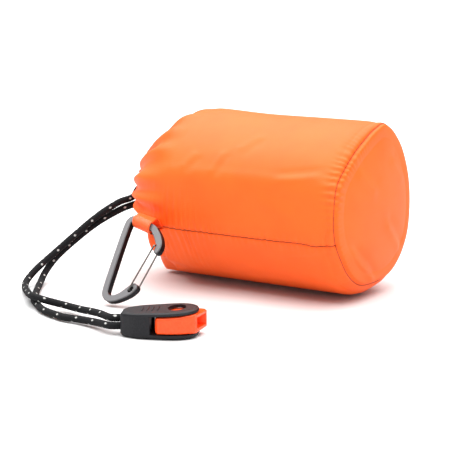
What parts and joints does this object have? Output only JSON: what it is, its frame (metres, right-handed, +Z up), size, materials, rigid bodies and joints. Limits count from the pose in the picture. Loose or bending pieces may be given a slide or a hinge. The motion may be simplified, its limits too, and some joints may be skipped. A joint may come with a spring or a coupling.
{
  "type": "emergency tube tent in stuff sack",
  "caption": "Rolled emergency tube tent in an orange drawstring stuff sack, with a whistle on the black drawcord and a small wire gate carabiner on a ribbon loop.",
  "frame": {"origin": "on the ground under the middle of the sack, in the middle of the strip that it rests on", "axes": "+X along the sack towards its sewn base panel, -Y towards the side seam with the carabiner, +Z up"},
  "size_m": [0.1535, 0.1552, 0.0804],
  "materials": {
    "sack_nylon": "thin coated orange nylon, slight sheen",
    "tent_sheet": "orange sheet, folded and rolled",
    "sewing_thread": "dark red sewing thread",
    "ribbon": "orange satin ribbon",
    "anodised_grey": "satin grey anodised",
    "gate_steel": "plain steel wire",
    "housing_black": "fine matte black plastic",
    "whistle_orange": "glossy orange plastic",
    "drawcord": "black braid with light reflective flecks"
  },
  "bodies": {
    "sack": {"sack_side_panel": "sack_nylon", "sack_base_panel": "sack_nylon", "tube_tent_roll": "tent_sheet", "side_seam_thread": "sewing_thread", "base_seam_thread": "sewing_thread", "drawcord_over": "drawcord", "drawcord_under": "drawcord", "drawcord_hem_ring": "drawcord", "cord_knot": "drawcord", "whistle_housing": "housing_black", "whistle": "whistle_orange"},
    "hang_loop": {"hang_loop": "ribbon"},
    "carabiner": {"carabiner_body": "anodised_grey"},
    "gate": {"carabiner_gate": "gate_steel"}
  },
  "joints": [
    {"name": "loop_flop", "type": "hinge", "parent": "sack", "child": "hang_loop", "pos_m": [-0.036, -0.0397, 0.0298], "axis": [1, 0, 0], "range_deg": [-35, 20]},
    {"name": "carabiner_swing", "type": "hinge", "parent": "hang_loop", "child": "carabiner", "pos_m": [-0.0281, -0.05539, 0.03365], "axis": [0.9703, -0.1318, -0.2029], "range_deg": [-95, 30]},
    {"name": "gate_hinge", "type": "hinge", "parent": "carabiner", "child": "gate", "pos_m": [-0.0225, -0.07249, 0.00732], "axis": [0, -0.8387, 0.5446], "range_deg": [0, 32], "stiffness_Nm_per_rad": 0.1, "springref_deg": -11.46}
  ]
}
